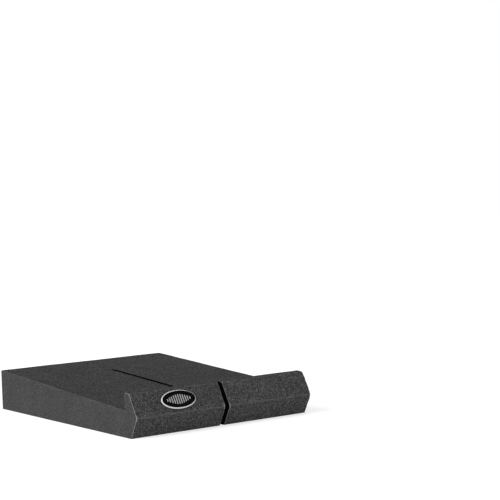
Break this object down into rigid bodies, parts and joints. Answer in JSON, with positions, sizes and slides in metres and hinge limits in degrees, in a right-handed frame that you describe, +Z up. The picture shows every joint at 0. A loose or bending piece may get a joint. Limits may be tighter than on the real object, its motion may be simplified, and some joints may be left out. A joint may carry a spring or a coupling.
{
  "type": "speaker isolation pad",
  "caption": "Foam isolation pad for one studio loudspeaker: a flat-bottomed wedge with a sloped seat, a raised front lip, a bevelled nose, a centre slot and an oval badge.",
  "frame": {"origin": "centre of the bounding box at the flat bottom, which is the floor", "axes": "+X to the right end, +Y to the back along the pad's length, +Z up"},
  "size_m": [0.248, 0.3534, 0.052],
  "materials": {
    "charcoal_foam": "matt open-cell polyurethane foam, cut faces",
    "black_badge": "satin black moulded plate with a silver painted border and bars"
  },
  "bodies": {
    "root": {"foam_pad": "charcoal_foam", "oval_badge": "black_badge"}
  },
  "joints": []
}
